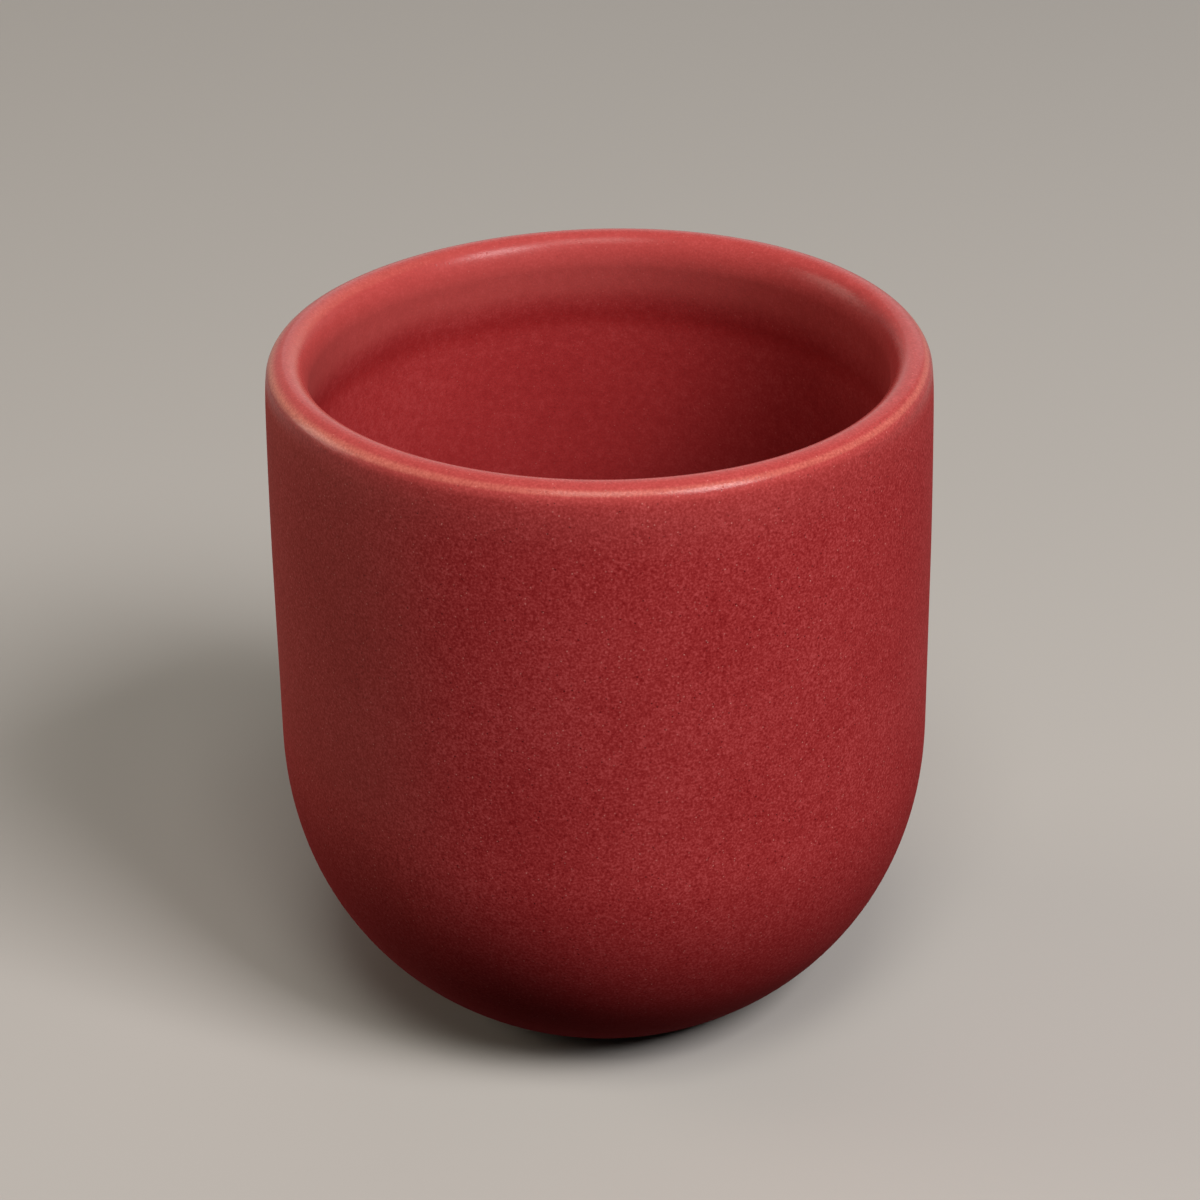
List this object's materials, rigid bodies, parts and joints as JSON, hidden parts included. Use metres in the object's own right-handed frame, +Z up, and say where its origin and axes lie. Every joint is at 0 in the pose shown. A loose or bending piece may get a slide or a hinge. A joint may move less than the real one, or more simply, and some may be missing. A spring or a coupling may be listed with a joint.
{
  "type": "handleless cup",
  "caption": "Handleless stoneware cup with a plumb wall, a deep rounded bowl, a thick rolled lip, satin glaze inside and out and a bare trimmed foot ring.",
  "frame": {"origin": "middle of the circle that the cup stands on, at table height", "axes": "+Z up along the cup's axis, towards its lip; the cup is round, so X and Y are any two square directions"},
  "size_m": [0.08, 0.08, 0.085],
  "materials": {
    "bare_stoneware": "bare fired stoneware, matt and slightly gritty",
    "red_satin_glaze": "satin-matt red glaze with a fine speckle",
    "red_base_glaze": "the same red glaze, a little darker, under the foot"
  },
  "bodies": {
    "root": {"clay_body": "bare_stoneware", "glaze_coat": "red_satin_glaze", "base_glaze": "red_base_glaze"}
  },
  "joints": []
}
